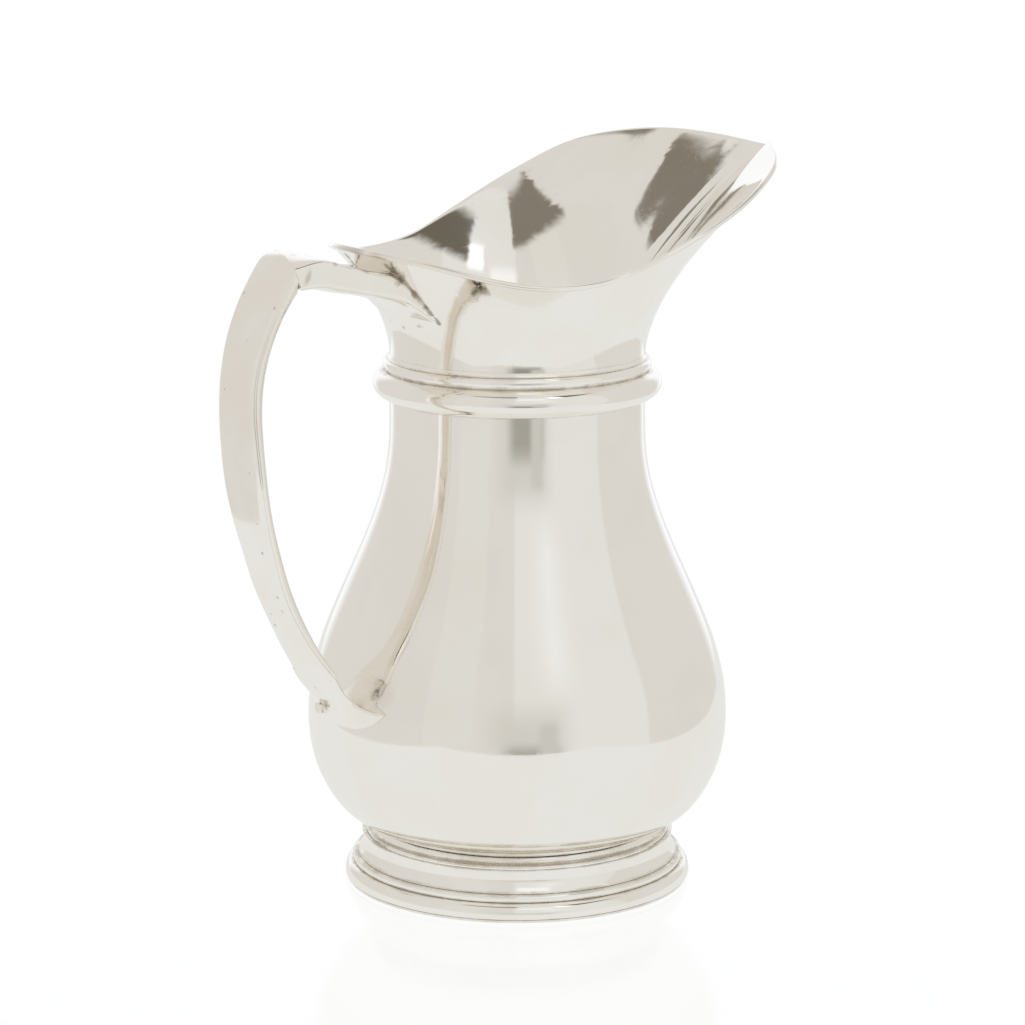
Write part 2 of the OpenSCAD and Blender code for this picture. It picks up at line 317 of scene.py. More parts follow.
def makeFoot():
    drumTop, low, flangeTop = foot["drumZ"] + foot["drumTall"], foot["wireTop"], foot["flangeTop"]
    # a ledge on the drum, the hollow curve above it, and back down along the belly
    cove = [(45, drumTop), (50.7, drumTop), (50.95, 16.6), (50.8, 17.05)] \
        + arc((foot["coveIn"] + foot["coveDeep"], foot["coveZ"] + foot["coveTall"]),
              foot["coveDeep"], foot["coveTall"], -90, -180, 7) \
        + [(bellyRadius(z), z) for z in (19.4, 18.8, 18.2)]
    drum = [(mix(foot["drumFoot"], foot["drumHead"], t) - foot["drumHollow"] * math.sin(math.pi * t),
             foot["drumZ"] + foot["drumTall"] * t) for t in (k / 10 for k in range(11))]
    drum = drum[:1] + [(53.75, 8.95)] + drum[1:-1] + [(52.25, 16.25)] + drum[-1:]
    drum += [(r - foot["drumSheet"], z) for r, z in reversed(drum)]
    beadTop = foot["beadZ"] + foot["beadTall"]
    bead = inMetres([(51.6, 6.1), (55.3, 6.1), (55.35, 6.6)]) \
        + rollProfile(foot["beadIn"], foot["beadZ"], foot["beadTall"], foot["beadDeep"], 9)[3:] \
        + inMetres([(51.6, beadTop)])
    domeMiddle = (foot["flangeOut"] - foot["domeDeep"], flangeTop - foot["domeTall"])
    flange = [(57.5, low), (57.9, 1.35), (58, 1.9)] \
        + arc(domeMiddle, foot["domeDeep"], foot["domeTall"], 0, 90, 11) \
        + [(53.6, flangeTop), (52.6, flangeTop), (52.6, 4.9), (54.6, 4.7), (55.9, 3.8), (56.4, low)]
    wire = [(52.1, 0.12), (52.5, 0), (56.9, 0), (57.4, 0.2), (57.5, 0.9), (57.3, low), (52.4, low), (52, 0.9)]
    sections = {"coveRing": inMetres(cove), "footDrum": inMetres(drum), "footBead": bead,
                "footFlange": inMetres(flange), "standingRing": inMetres(wire)}
    return [turned(name, section, around=64, levels=2, closed=True, smoothAngle=50)
            for name, section in sections.items()]


# distance behind the axis, height, half width and depth of the handle, from the corner down to the tongue
grip = [(86.2, 218.6, 12, 9.2), (91.2, 217.2, 12, 8.6), (95.4, 211.8, 12.1, 7.4), (101, 202.6, 11.8, 6.4),
        (105.6, 192, 11, 6.6), (108.3, 181, 10.3, 6.8), (109, 170, 10.4, 6.4), (108.3, 158, 10.9, 6),
        (107, 146, 10.9, 5.8), (104.8, 134, 10.1, 5.8), (101.7, 122.6, 9, 6), (98.2, 111, 8.4, 6.2),
        (93, 99.5, 8.2, 5.8), (86.8, 88.5, 9.9, 4.8), (81.2, 80.6, 12.2, 4.2)]
handle = {
    "strap": 1.6, "crown": 0.45, "joint": (0.28, -0.96), "skew": 0.058,
    "strapFit": 1.02, "troughFit": 0.985, "gap": 0.02,
    "tongueHalf": 20.2, "tongueLow": 62.6, "tongueTips": 69.6, "tongueEdge": 1.7,
    "armHalf": 12.0, "armLow": 191.0, "armFoot": 19.0, "armToe": 14.0,
    "vent": (-74.2, 5.6, 67.4), "ventLong": 3.8, "ventWide": 1.4, "ventDeep": 3.6,
    "ventLean": 100, "ventTurn": 55,
}


def knot(s, c):
    i = min(int(s), len(grip) - 2)
    t = s - i
    a, p = grip[max(0, i - 1)][c], grip[i][c]
    q, b = grip[i + 1][c], grip[min(len(grip) - 1, i + 2)][c]
    return cubic(p, (q - a) / (1 if i == 0 else 2), q, (b - p) / (1 if i + 1 == len(grip) - 1 else 2), 1, t)


def along(s):
    a, b = max(0, s - 0.05), min(len(grip) - 1, s + 0.05)
    d = (knot(b, 0) - knot(a, 0), knot(b, 1) - knot(a, 1))
    n = math.hypot(*d)
    return d[0] / n, d[1] / n


def gripPoint(at, deep, y):
    k = ease(at / 2.5)
    s = min(len(grip) - 1, at + handle["skew"] * (12 - y) * (1 - k))
    d = along(s)
    v = (mix(handle["joint"][0], -d[1], k), mix(handle["joint"][1], -d[0], k))
    return -(knot(s, 0) - v[0] * deep), y, knot(s, 1) + v[1] * deep


def makeStrap():
    # a crowned face, bevelled edges and a flat back: share of the half width, and depth behind the face
    rows = 44
    half = [(0.17, -0.43), (0.5, -0.33), (0.8, -0.08), (0.85, -0.01), (0.885, 0.1), (0.97, 0.8), (1, 1.25),
            (1, 1.55), (0.97, 1.72), (0.5, 1.74)]
    ring = half + [(-y, deep) for y, deep in reversed(half)]

    def place(i, j):
        s = (len(grip) - 1) * i / (rows - 1)
        y, deep = ring[j]
        return gripPoint(s, deep, y * knot(s, 2) * handle["strapFit"])
    return lofted("handleStrap", rows, len(ring), place, levels=2, smoothAngle=55)


def makeShell():
    # a round-cornered trough behind the strap, closed by a flat of four points
    rows, bend, backPoints = 44, 14, 4
    start = handle["strap"] + handle["gap"]

    def place(i, j):
        s = (len(grip) - 1) * i / (rows - 1)
        w, d = knot(s, 2) * handle["troughFit"], knot(s, 3) - handle["strap"]
        if j > bend:
            return gripPoint(s, start, w * mix(-0.8, 0.8, (j - bend - 1) / (backPoints - 1)))
        a = math.radians(90 - j * 180 / bend)
        side = math.copysign(abs(math.sin(a))**0.6, math.sin(a)) if abs(a) > 1e-6 else 0
        return gripPoint(s, start + d * max(0, math.cos(a))**0.7, w * side)
    return lofted("handleTrough", rows, bend + 1 + backPoints, place, levels=1, smoothAngle=55)


def makeArm():
    # the section: share of the half width, and of the way from top to bottom
    cut = [(0.5, 0), (0.86, 0), (0.985, 0.035), (1, 0.12), (1, 0.32), (1, 0.56), (0.985, 0.78),
           (0.86, 0.93), (0.5, 1)]
    both = cut + [(-y, p) for y, p in reversed(cut)]
    # how far back and how high the top of the section is, then its bottom
    rows = [(82.6, 218.2, 81.4, 207.2), (77, 216.3, 76.6, 205.4), (70, 214, 70, 204.3),
            (64.4, 212.4, 64.4, 203.2)]
    hang = [0.3, 0.55, 0.78, 0.93, 0.985, 1.0]  # share of the way down to the foot of the saddle

    def place(i, j):
        y, p = both[j]
        width = y * handle["armHalf"]
        if i < 2:
            x, y, z = gripPoint(0, mix(-0.4, 9.2, p), width)
            return x + 0.9 * i, y, z + 0.12 * i
        if i < 2 + len(rows):
            r = rows[i - 2]
            return -mix(r[0], r[2], p), width, mix(r[1], r[3], p)
        f = hang[i - 2 - len(rows)]
        side = y * mix(handle["armHalf"], handle["armFoot"], p * f)
        z = mix(mix(212, 202.6, p), mix(211.2, handle["armLow"], p), f**1.3)
        shut = -neckBack(side, z)
        out = mix(-61.5, -41 - handle["armToe"], ease(p))
        x = mix(min(out, shut - 0.4), shut + 0.3, 1 - (1 - f)**1.3)
        return x, side, z
    return lofted("handleArm", 2 + len(rows) + len(hang), len(both), place, levels=2, smoothAngle=50)


def makeTongue():
    backTop, top, halfTop, deepTop = grip[-1]
    low, edge, strap = handle["tongueLow"], handle["tongueEdge"], handle["strap"]
    run = along(len(grip) - 1)

    # u runs across from -1 to 1, v down from 0 to 1, and inner is 1 on the side towards the belly
    def surface(u, v, inner):
        y = u * mix(halfTop, handle["tongueHalf"], ease((v - 0.74) / 0.26))
        z = mix(top, mix(low, handle["tongueTips"], abs(u)**4), v)
        thick = inner * mix(strap + (deepTop - strap) * math.sqrt(max(0, 1 - u * u)), edge, v * v)
        lifted = z - run[0] * thick * (1 - v)
        reach = mix(mix(backTop, 71.6, (top - z) / (top - low)), bellyBack(y, z) + edge + 0.05, v**4)
        if not inner:
            reach += handle["crown"] * (1 - u * u) * (1 - v)
        back = reach + thick * mix(run[1], -1, v)
        return -max(back, bellyBack(y, lifted) + handle["gap"]), y, lifted

    across = [-1, -0.96, -0.8, -0.6, -0.4, -0.2, 0, 0.2, 0.4, 0.6, 0.8, 0.96, 1]
    downs = [0, 0.08, 0.18, 0.3, 0.42, 0.54, 0.66, 0.76, 0.85, 0.92, 0.97, 0.995, 1.0]
    ring = [(u, 0) for u in across] + [(u, 1) for u in reversed(across)]

    def place(i, j):
        u, inner = ring[j]
        return surface(u, downs[i], inner)
    return cutVent(lofted("handleTongue", len(downs), len(ring), place, levels=3, smoothAngle=50))


def cutVent(tongue):
    # the slot that vents the hollow handle
    freshSelection()
    bpy.ops.mesh.primitive_cylinder_add(vertices=32, radius=handle["ventWide"] / 2 * mm,
                                        depth=handle["ventDeep"] * mm)
    cutter = bpy.context.object
    cutter.scale = (1, handle["ventLong"] / handle["ventWide"], 1)
    bpy.ops.object.transform_apply(location=False, rotation=False, scale=True)
    lean = Matrix.Rotation(math.radians(handle["ventLean"]), 3, "Y") \
        @ Matrix.Rotation(math.radians(handle["ventTurn"]), 3, "Z")
    cutter.rotation_euler = lean.to_euler()
    cutter.location = Vector(handle["vent"]) * mm
    bpy.ops.object.transform_apply(location=True, rotation=True, scale=True)
    bpy.context.view_layer.objects.active = tongue
    cut = tongue.modifiers.new("ventSlot", "BOOLEAN")
    cut.operation, cut.object, cut.solver = "DIFFERENCE", cutter, "EXACT"
    bpy.ops.object.modifier_apply(modifier=cut.name)
    bpy.data.objects.remove(cutter)
    freshSelection()
    tongue.select_set(True)
    bpy.ops.object.shade_smooth_by_angle(angle=math.radians(50))
    return tongue


body = makeBody()
neck = makeNeck()
wire = makeLipWire()
collarRing, collarBead = makeCollar()
coveRing, footDrum, footBead, footFlange, standingRing = makeFoot()
strap = makeStrap()
trough = makeShell()
arm = makeArm()
tongue = makeTongue()
print("pieces modelled")

standsFor = [(body, "body"), (neck, "neck"), (wire, "rim_wire"), (collarRing, "collar_ring"),
             (collarBead, "collar_bead"), (coveRing, "foot_cove"), (footDrum, "foot_drum"),
             (footBead, "foot_bead"), (footFlange, "foot_flange"), (standingRing, "foot_wire"),
             (strap, "handle_strap"), (trough, "handle_shell"), (arm, "handle_arm"),
             (tongue, "handle_tongue")]


def newGroup(name, inputs, outputs):
    group = bpy.data.node_groups.new(name, "ShaderNodeTree")
    for label, value in inputs:
        socket = group.interface.new_socket(name=label, in_out="INPUT", socket_type="NodeSocketFloat")
        socket.default_value = value
    for label, kind in outputs:
        group.interface.new_socket(name=label, in_out="OUTPUT", socket_type=kind)
    return group, group.nodes.new("NodeGroupInput"), group.nodes.new("NodeGroupOutput")


class Wiring:
    # short words for wiring nodes inside one tree
    def __init__(self, tree):
        self.nodes, self.links = tree.nodes, tree.links

    def add(self, kind, **settings):
        node = self.nodes.new(kind)
        for key, value in settings.items():
            setattr(node, key, value)
        return node

    def put(self, socket, value):
        if hasattr(value, "is_output"):
            self.links.new(value, socket)
        else:
            socket.default_value = value

    def math(self, operation, a, b=0.0, c=0.0):
        node = self.add("ShaderNodeMath", operation=operation)
        for socket, value in zip(node.inputs, (a, b, c)):
            self.put(socket, value)
        return node.outputs[0]

    def noise(self, where, scale, detail=2.0, rough=0.5, warp=0.0):
        node = self.add("ShaderNodeTexNoise")
        self.links.new(where, node.inputs["Vector"])
        self.put(node.inputs["Scale"], scale)
        node.inputs["Detail"].default_value = detail
        node.inputs["Roughness"].default_value = rough
        node.inputs["Distortion"].default_value = warp
        return node.outputs["Fac"]

    def span(self, value, low, high, toLow=0.0, toHigh=1.0):
        # a smooth step: toLow below low, toHigh above high
        node = self.add("ShaderNodeMapRange", interpolation_type="SMOOTHSTEP")
        for label, v in (("Value", value), ("From Min", low), ("From Max", high),
                         ("To Min", toLow), ("To Max", toHigh)):
            self.put(node.inputs[label], v)
        return node.outputs["Result"]

    def uneven(self, reach, where, scale, least, most):
        # a reach that grows and shrinks from place to place
        share = self.span(self.noise(where, scale, 3.0, 0.6), 0.3, 0.7, least, most)
        return self.math("MULTIPLY", reach, share)

    def blend(self, amount, a, b):
        node = self.add("ShaderNodeMix", data_type="RGBA")
        self.put(node.inputs[0], amount)
        self.put(node.inputs[6], a)
        self.put(node.inputs[7], b)
        return node.outputs[2]


def makeHammered():
    # the slight unevenness that planishing leaves, as a height in metres
    group, given, result = newGroup("planishedSurface",
                                    [("Broad", 0.00005), ("Dents", 0.000012), ("Fine", 0.000002)],
                                    [("Height", "NodeSocketFloat")])
    w = Wiring(group)
    where = w.add("ShaderNodeTexCoord").outputs["Object"]
    broad = w.math("MULTIPLY", w.noise(where, 28, 1.0, 0.4), given.outputs["Broad"])
    dents = w.math("MULTIPLY", w.noise(where, 90, 2.0, 0.5, 0.6), given.outputs["Dents"])
    fine = w.math("MULTIPLY", w.noise(where, 320, 3.0, 0.6), given.outputs["Fine"])
    w.links.new(w.math("ADD", w.math("ADD", broad, dents), fine), result.inputs["Height"])
    return group


def makeScratches():
    # hair scratches in two directions, and scattered pits
    group, given, result = newGroup("wearMarks", [("Pits", 0.5)],
                                    [("Scratch", "NodeSocketFloat"), ("Pit", "NodeSocketFloat")])
    w = Wiring(group)
    where = w.add("ShaderNodeTexCoord").outputs["Object"]
    lines = []
    for turn, squash in (((0.3, 0.9, 0.4), (40, 900, 900)), ((1.2, 0.2, 2.1), (1100, 60, 1100))):
        mapping = w.add("ShaderNodeMapping")
        mapping.inputs["Rotation"].default_value = turn
        mapping.inputs["Scale"].default_value = squash
        w.links.new(where, mapping.inputs["Vector"])
        lines.append(w.span(w.noise(mapping.outputs["Vector"], 1.0, 1.0, 0.5), 0.66, 0.74))
    w.links.new(w.math("MAXIMUM", lines[0], lines[1]), result.inputs["Scratch"])
    cells = w.add("ShaderNodeTexVoronoi")
    w.links.new(where, cells.inputs["Vector"])
    cells.inputs["Scale"].default_value = 210
    dots = w.span(cells.outputs["Distance"], 0.1, 0.17, 1.0, 0.0)
    some = w.span(w.noise(where, 130, 2.0), 0.56, 0.64)
    pits = w.math("MULTIPLY", w.math("MULTIPLY", dots, some), given.outputs["Pits"])
    w.links.new(pits, result.inputs["Pit"])
    return group


def makeGroove():
    # tarnish that gathers in a band of height, as in the angle between two mouldings
    group, given, result = newGroup("grooveTarnish", [("Middle", 0.1), ("Reach", 0.001), ("Amount", 0.7)],
                                    [("Mask", "NodeSocketFloat")])
    w = Wiring(group)
    where = w.add("ShaderNodeTexCoord").outputs["Object"]
    split = w.add("ShaderNodeSeparateXYZ")
    w.links.new(where, split.inputs[0])
    away = w.math("ABSOLUTE", w.math("SUBTRACT", split.outputs["Z"], given.outputs["Middle"]))
    reach = w.uneven(given.outputs["Reach"], where, 75, 0.35, 1.5)
    near = w.span(w.math("DIVIDE", away, reach), 0.0, 1.0, 1.0, 0.0)
    patchy = w.span(w.noise(where, 160, 3.0, 0.6), 0.35, 0.62, 0.35, 1.0)
    mask = w.math("MULTIPLY", w.math("MULTIPLY", near, patchy), given.outputs["Amount"])
    w.links.new(mask, result.inputs["Mask"])
    return group


def makeSpot():
    # tarnish and painted shade round one point
    group, given, result = newGroup("cornerTarnishAndShade", [(axis, 0.0) for axis in "XYZ"]
                                    + [("Reach", 0.01), ("Amount", 0.7)], [("Mask", "NodeSocketFloat")])
    w = Wiring(group)
    where = w.add("ShaderNodeTexCoord").outputs["Object"]
    split, join = w.add("ShaderNodeSeparateXYZ"), w.add("ShaderNodeCombineXYZ")
    w.links.new(where, split.inputs[0])
    for axis in "XYZ":
        w.links.new(w.math("SUBTRACT", split.outputs[axis], given.outputs[axis]), join.inputs[axis])
    length = w.add("ShaderNodeVectorMath", operation="LENGTH")
    w.links.new(join.outputs[0], length.inputs[0])
    reach = w.uneven(given.outputs["Reach"], where, 110, 0.4, 1.4)
    near = w.span(w.math("DIVIDE", length.outputs["Value"], reach), 0.15, 1.0, 1.0, 0.0)
    w.links.new(w.math("MULTIPLY", near, given.outputs["Amount"]), result.inputs["Mask"])
    return group


def makeSeamLine():
    # tarnish and painted shade along the straight line from A to B, fading out over Reach
    group, given, result = newGroup("seamTarnishAndShade", [(end + axis, 0.0) for end in "AB" for axis in "XYZ"]
                                    + [("Reach", 0.002), ("Amount", 0.8)], [("Mask", "NodeSocketFloat")])
    w = Wiring(group)
    where = w.add("ShaderNodeTexCoord").outputs["Object"]
    ends = []
    for end in "AB":
        join = w.add("ShaderNodeCombineXYZ")
        for axis in "XYZ":
            w.links.new(given.outputs[end + axis], join.inputs[axis])
        ends.append(join.outputs[0])

    def vector(operation, a, b, out="Vector"):
        node = w.add("ShaderNodeVectorMath", operation=operation)
        w.links.new(a, node.inputs[0])
        w.links.new(b, node.inputs[1])
        return node.outputs[out]
    run, off = vector("SUBTRACT", ends[1], ends[0]), vector("SUBTRACT", where, ends[0])
    share = w.math("DIVIDE", vector("DOT_PRODUCT", off, run, "Value"),
                   vector("DOT_PRODUCT", run, run, "Value"))
    scaled = w.add("ShaderNodeVectorMath", operation="SCALE")
    w.links.new(run, scaled.inputs[0])
    w.links.new(w.span(share, 0.0, 1.0), scaled.inputs["Scale"])
    length = w.add("ShaderNodeVectorMath", operation="LENGTH")
    w.links.new(vector("SUBTRACT", off, scaled.outputs[0]), length.inputs[0])
    reach = w.uneven(given.outputs["Reach"], where, 260, 0.5, 1.5)
    near = w.span(w.math("DIVIDE", length.outputs["Value"], reach), 0.2, 1.0, 1.0, 0.0)
    w.links.new(w.math("MULTIPLY", near, given.outputs["Amount"]), result.inputs["Mask"])
    return group


planished, wearMarks = makeHammered(), makeScratches()
grooveTarnish, cornerTarnishAndShade, seamTarnishAndShade = makeGroove(), makeSpot(), makeSeamLine()
# tones, roughness, and depths in metres; the dark brown tarnish tone also stands for painted shade where
# parts meet
finish = {"silver": (0.955, 0.935, 0.9), "warm": (0.93, 0.885, 0.82), "tarnishAndShade": (0.3, 0.22, 0.14),
          "dull": (0.62, 0.56, 0.46), "pit": (0.2, 0.15, 0.09), "roughness": 0.055, "scratchRoughness": 0.07,
          "stainRoughness": 0.3, "stainAndShadeCover": 0.8, "scratchDeep": 0.0000008, "pitDeep": 0.00004}


def silverFinish(name, broad=0.00005, dents=0.000012, fine=0.0000016, pits=0.0, warmth=0.35,
                 grooves=(), corners=(), seams=(), roughness=finish["roughness"]):
    mat = bpy.data.materials.new(name)
    mat.use_nodes = True
    w = Wiring(mat.node_tree)
    shader = mat.node_tree.nodes["Principled BSDF"]
    shader.inputs["Metallic"].default_value = 1
    where = w.add("ShaderNodeTexCoord").outputs["Object"]

    def place(group, **values):
        node = w.add("ShaderNodeGroup")
        node.node_tree = group
        for key, value in values.items():
            node.inputs[key].default_value = value
        return node

    def together(masks):
        whole = masks[0] if masks else None
        for mask in masks[1:]:
            whole = w.math("MAXIMUM", whole, mask)
        return whole
    surface = place(planished, Broad=broad, Dents=dents, Fine=fine)
    marks = place(wearMarks, Pits=pits)
    hollows = [place(grooveTarnish, Middle=middle * mm, Reach=reach * mm, Amount=amount)
               for middle, reach, amount in grooves]
    tarnishAndShadeNodes = [place(cornerTarnishAndShade, X=x * mm, Y=y * mm, Z=z * mm, Reach=reach * mm, Amount=amount)
              for x, y, z, reach, amount in corners]
    for a, b, reach, amount in seams:
        ends = {end + axis: v * mm for end, point in (("A", a), ("B", b)) for axis, v in zip("XYZ", point)}
        tarnishAndShadeNodes.append(place(seamTarnishAndShade, Reach=reach * mm, Amount=amount, **ends))
    hollow = together([node.outputs["Mask"] for node in hollows])
    # the joint mask lays on tarnish mixed with painted shade where parts meet, and painted shade in the vent
    joint = together([node.outputs["Mask"] for node in tarnishAndShadeNodes])

    drift = w.span(w.noise(where, 34, 3.0, 0.55, 0.4), 0.38, 0.66)
    tone = w.blend(w.math("MULTIPLY", drift, warmth), (*finish["silver"], 1), (*finish["warm"], 1))
    # hollows take the dull patina; the joint mask takes the dark brown of tarnish and painted shade
    for mask, stainAndShade in ((hollow, "dull"), (joint, "tarnishAndShade")):
        if mask is not None:
            tone = w.blend(mask, tone, (*finish[stainAndShade], 1))
    tone = w.blend(w.math("MULTIPLY", marks.outputs["Pit"], 0.75), tone, (*finish["pit"], 1))
    w.links.new(tone, shader.inputs["Base Color"])

    rough = w.math("ADD", w.span(w.noise(where, 60, 4.0, 0.6), 0.3, 0.7, roughness * 0.7, roughness * 1.5),
                   w.math("MULTIPLY", marks.outputs["Scratch"], finish["scratchRoughness"]))
    # where the patina, tarnish and painted shade lie, the silver turns rougher and less metallic
    stainedAndShaded = together([mask for mask in (joint, hollow) if mask is not None])
    if stainedAndShaded is not None:
        rough = w.math("ADD", rough, w.math("MULTIPLY", stainedAndShaded, finish["stainRoughness"]))
        covered = w.math("MULTIPLY", stainedAndShaded, finish["stainAndShadeCover"])
        w.links.new(w.math("SUBTRACT", 1.0, covered), shader.inputs["Metallic"])
    w.links.new(rough, shader.inputs["Roughness"])

    height = surface.outputs["Height"]
    for mark, depth in (("Scratch", finish["scratchDeep"]), ("Pit", finish["pitDeep"])):
        height = w.math("SUBTRACT", height, w.math("MULTIPLY", marks.outputs[mark], depth))
    bump = w.add("ShaderNodeBump")
    bump.inputs["Distance"].default_value = 1.0
    bump.inputs["Strength"].default_value = 1.0
    w.links.new(height, bump.inputs["Height"])
    w.links.new(bump.outputs["Normal"], shader.inputs["Normal"])
    return mat


# the line where the handle's end lies on the neck, down each side and round its foot, darkened with tarnish
# and painted shade: point, reach and amount
seamPoints = [((-59, 11.8, 213.5), 2.2, 0.85), ((-54.1, 12.8, 208.8), 1.4, 0.8),
              ((-46.7, 15.9, 199.9), 1.2, 0.75), ((-43, 17.5, 194.5), 1.0, 0.55), ((-44.9, 0, 191), 0, 0)]
seamLines = [((a[0], side * a[1], a[2]), (b[0], side * b[1], b[2]), reach, amount)
             for side in (-1, 1) for (a, reach, amount), (b, _, _) in zip(seamPoints, seamPoints[1:])]
# dark lines along the handle's outer corner and along the arm's top near edge
cornerLine = [((-90.5, -12, 206.5), (-86, -12, 218.5), 1.3, 0.35),
              ((-86.3, -12, 218.7), (-86.3, 12, 218.7), 1.0, 0.3)]
armTopLine = [((-78, -12, 216.5), (-66, -12, 213), 1.2, 0.4)]
# painted shade for the dark inside of the vent slot
ventPaintedShade = [((-74.4, 4.9, 66.4), (-74, 6.3, 68.4), 0.8, 1.0)]
finishes = {
    "bellyShell": silverFinish("bellySilver", 0.00009, 0.00002, warmth=0.4,
                               grooves=[(164.3, 0.6, 0.5), (19.8, 0.7, 0.5)],
                               # tarnish and painted shade on the belly beside the handle's tongue
                               corners=[(-68, -17, 75, 9, 0.12)]),
    "flaredNeck": silverFinish("neckSilver", 0.00016, 0.00006, 0.000004, warmth=0.5,
                               grooves=[(178.7, 0.7, 0.4)], seams=seamLines),
    # tarnish and painted shade on the rim where the handle's arm meets it
    "lipWire": silverFinish("lipWireSilver", 0.00003, 0.00001, warmth=1.0, corners=[(-63, 0, 216, 14, 0.35)]),
    "collarRing": silverFinish("collarSilver", 0.00004, 0.000012, warmth=0.5,
                               grooves=[(164.4, 0.5, 0.5), (173.8, 0.9, 0.85)]),
    "collarBead": silverFinish("collarBeadSilver", 0.00004, 0.00001,
                               grooves=[(174.0, 0.9, 0.85), (177.4, 0.5, 0.5)]),
    "coveRing": silverFinish("coveSilver", 0.00004, 0.00001, warmth=0.6,
                             grooves=[(17.3, 0.8, 0.7), (19.3, 0.8, 0.7)]),
    "footDrum": silverFinish("drumSilver", 0.00004, 0.00001, warmth=0.6,
                             grooves=[(9.0, 0.8, 0.7), (16.3, 0.7, 0.7)]),
    "footBead": silverFinish("footBeadSilver", 0.00003, 0.00001, warmth=0.6,
                             grooves=[(6.3, 0.8, 0.85), (8.8, 0.7, 0.7)]),
    "footFlange": silverFinish("flangeSilver", 0.00004, 0.00001, warmth=0.6,
                               grooves=[(6.3, 0.5, 0.85), (1.2, 0.5, 0.5)]),
    "standingRing": silverFinish("standingRingSilver", 0.00002, 0.00001, warmth=0.8,
                                 grooves=[(0.6, 0.9, 0.3)], roughness=0.12),
    "handleStrap": silverFinish("handleSilver", 0.00004, 0.000012, 0.000003, pits=0.8, warmth=0.8,
                                seams=cornerLine, roughness=0.085),
    "handleTrough": silverFinish("troughSilver", 0.00004, 0.000012, warmth=0.8, roughness=0.085),
    "handleArm": silverFinish("armSilver", 0.00005, 0.00002, 0.000003, pits=0.4, warmth=0.8,
                              seams=seamLines + cornerLine + armTopLine, roughness=0.085),
    "handleTongue": silverFinish("tongueSilver", 0.00003, 0.00001, pits=0.3, warmth=0.8,
                                 seams=ventPaintedShade, roughness=0.085),
}
for piece, node in standsFor:
    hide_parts(node)
    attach(piece, "root")
    piece.data.materials.clear()
    piece.data.materials.append(finishes[piece.name])
print("silver finishes given")


# the studio: a pale glossy table in a light room, with soft lights and a few darker gaps between them
studio = {"room": (0.735, 0.718, 0.684), "table": (0.82, 0.828, 0.81), "tableFront": 0.42, "tableSide": 0.34,
          "tableEdge": 0.01, "floorSize": 8, "floorDrop": 0.0002, "sheen": 0.11, "sheenRoughness": 0.12,
          "seenRoom": 1.1}
# where each stretch of the room lies: angle from the camera's side to the right, angle of height,
# half spans of both, softness and tint
stretches = [
    ("frontPanels", 37, 20, 39, 62, 1, (0.79, 0.79, 0.765)),
    ("leftPanel", -38, 20, 14, 62, 1.5, (0.755, 0.745, 0.71)),
    ("whiteBackdrop", 180, 0, 30, 24, 8, (1.0, 1.02, 1.05)),
    ("dimAisle", 6, -2, 20, 13, 10, (0.66, 0.655, 0.62)),
    ("aisleFloor", 8, -15, 14, 8, 6, (0.32, 0.31, 0.28)),
    ("aisleEdge", 17, -6, 5, 12, 3, (0.6, 0.6, 0.56)),
    ("softLight", 24, 31, 5, 7, 14, (0.93, 0.935, 0.93)),
    ("frontLight", 14, 48, 14, 5, 4, (0.97, 0.97, 0.97)),
    ("highLight", 44, 57, 8, 5, 3, (1.3, 1.3, 1.32)),
    ("rightGap", 90, 63, 37, 8, 2.5, (0.15, 0.135, 0.105)),
    ("overheadGap", -32, 72, 32, 9, 2, (0.23, 0.207, 0.168)),
    ("leftGap", -122, 56, 9, 8, 2.5, (0.26, 0.24, 0.2)),
]


def makeWorld():
    world = bpy.data.worlds.new("studioRoom")
    bpy.context.scene.world = world
    world.use_nodes = True
    world.node_tree.nodes.clear()
    w = Wiring(world.node_tree)
    out = w.add("ShaderNodeOutputWorld")
    toward = w.add("ShaderNodeTexCoord").outputs["Generated"]

    def dot(axis):
        node = w.add("ShaderNodeVectorMath", operation="DOT_PRODUCT")
        w.links.new(toward, node.inputs[0])
        node.inputs[1].default_value = axis
        return node.outputs["Value"]
    around = w.math("MULTIPLY", w.math("ARCTAN2", dot(cameraRight), dot(towardsCamera)), 180 / math.pi)
    height = w.math("MULTIPLY", w.math("ARCSINE", dot((0, 0, 1))), 180 / math.pi)
    tint = (*studio["room"], 1)
    for _, angle, rise, halfAngle, halfRise, soft, value in stretches:
        off = w.math("ABSOLUTE", w.math("WRAP", w.math("SUBTRACT", around, angle), -180.0, 180.0))
        up = w.math("ABSOLUTE", w.math("SUBTRACT", height, rise))
        mask = w.math("MULTIPLY", w.span(off, halfAngle - soft, halfAngle + soft, 1.0, 0.0),
                      w.span(up, halfRise - soft, halfRise + soft, 1.0, 0.0))
        tint = w.blend(mask, tint, (*value, 1))
    room, seen = w.add("ShaderNodeBackground"), w.add("ShaderNodeBackground")
    w.links.new(tint, room.inputs["Color"])
    seen.inputs["Color"].default_value = (*[studio["seenRoom"]] * 3, 1)
    path, pick = w.add("ShaderNodeLightPath"), w.add("ShaderNodeMixShader")
    w.links.new(path.outputs["Is Camera Ray"], pick.inputs["Fac"])
    w.links.new(room.outputs["Background"], pick.inputs[1])
    w.links.new(seen.outputs["Background"], pick.inputs[2])
    w.links.new(pick.outputs["Shader"], out.inputs["Surface"])


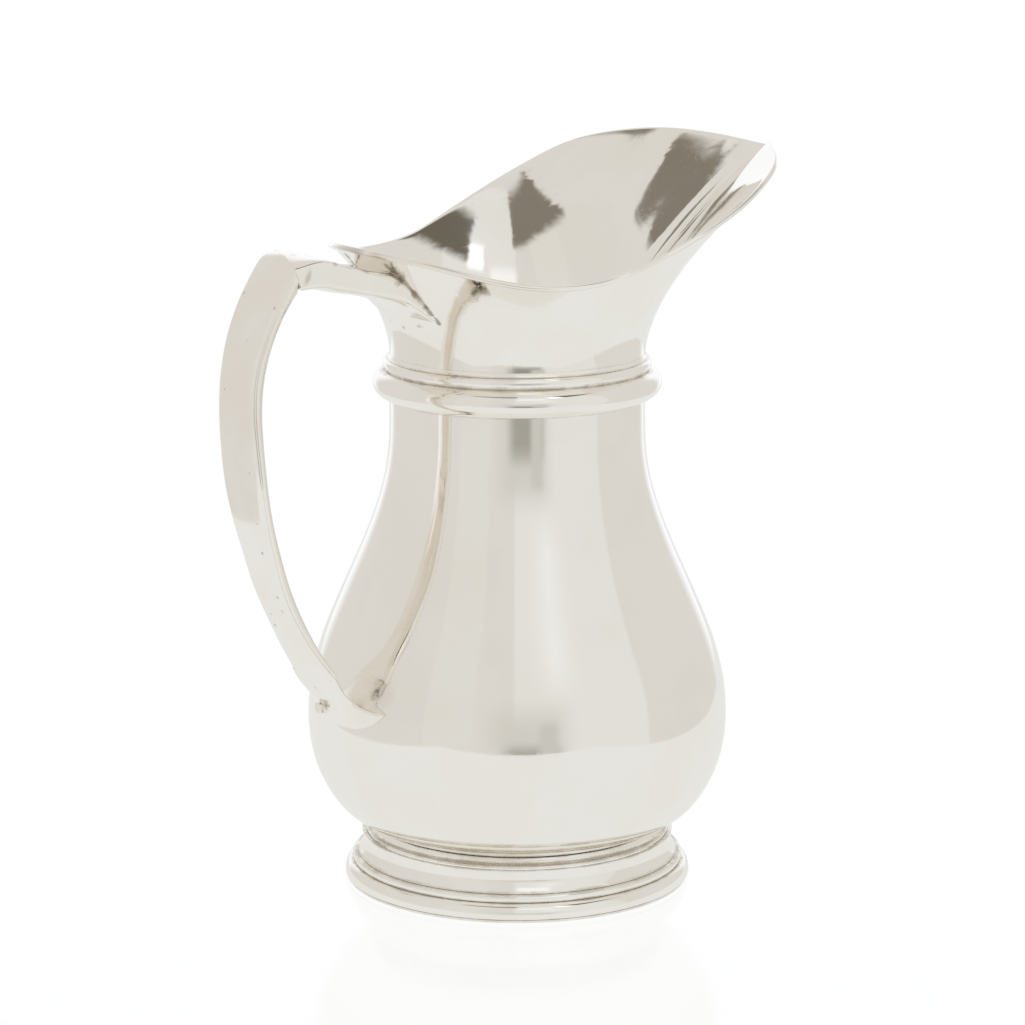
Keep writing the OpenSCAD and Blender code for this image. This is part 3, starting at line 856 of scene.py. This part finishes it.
def makeFloor():
    freshSelection()
    bpy.ops.mesh.primitive_plane_add(size=studio["floorSize"], location=(0, 0, -studio["floorDrop"]))
    floor = bpy.context.object
    floor.name = "paleFloor"
    bpy.ops.object.transform_apply(location=True)
    mat = bpy.data.materials.new("paleGlossyFloor")
    mat.use_nodes = True
    mat.node_tree.nodes.clear()
    w = Wiring(mat.node_tree)
    where = w.add("ShaderNodeTexCoord").outputs["Object"]

    def dot(axis):
        node = w.add("ShaderNodeVectorMath", operation="DOT_PRODUCT")
        w.links.new(where, node.inputs[0])
        node.inputs[1].default_value = axis
        return node.outputs["Value"]
    front, side = dot(towardsCamera), dot(cameraRight)
    out = w.add("ShaderNodeOutputMaterial")
    path = w.add("ShaderNodeLightPath")
    pick, seen = w.add("ShaderNodeMixShader"), w.add("ShaderNodeMixShader")
    seen.inputs["Fac"].default_value = studio["sheen"]
    white, glow = w.add("ShaderNodeEmission"), w.add("ShaderNodeEmission")
    gloss = w.add("ShaderNodeBsdfGlossy")
    white.inputs["Color"].default_value = (1, 1, 1, 1)
    gloss.inputs["Color"].default_value = (1, 1, 1, 1)
    gloss.inputs["Roughness"].default_value = studio["sheenRoughness"]
    # the silver sees the bright table top, and past its edges the room
    reachSide, reachFront, edge = studio["tableSide"], studio["tableFront"], studio["tableEdge"]
    onTable = w.math("MULTIPLY", w.span(w.math("ABSOLUTE", side), reachSide, reachSide + edge, 1.0, 0.0),
                     w.span(front, reachFront, reachFront + edge, 1.0, 0.0))
    glow.inputs["Color"].default_value = (*studio["table"], 1)
    clear, top = w.add("ShaderNodeBsdfTransparent"), w.add("ShaderNodeMixShader")
    w.links.new(onTable, top.inputs["Fac"])
    w.links.new(clear.outputs[0], top.inputs[1])
    w.links.new(glow.outputs[0], top.inputs[2])
    w.links.new(white.outputs[0], seen.inputs[1])
    w.links.new(gloss.outputs[0], seen.inputs[2])
    w.links.new(path.outputs["Is Camera Ray"], pick.inputs["Fac"])
    w.links.new(top.outputs[0], pick.inputs[1])
    w.links.new(seen.outputs[0], pick.inputs[2])
    w.links.new(pick.outputs[0], out.inputs["Surface"])
    floor.data.materials.append(mat)


makeWorld()
makeFloor()
bpy.context.scene.view_settings.view_transform = "Standard"
print("studio set")
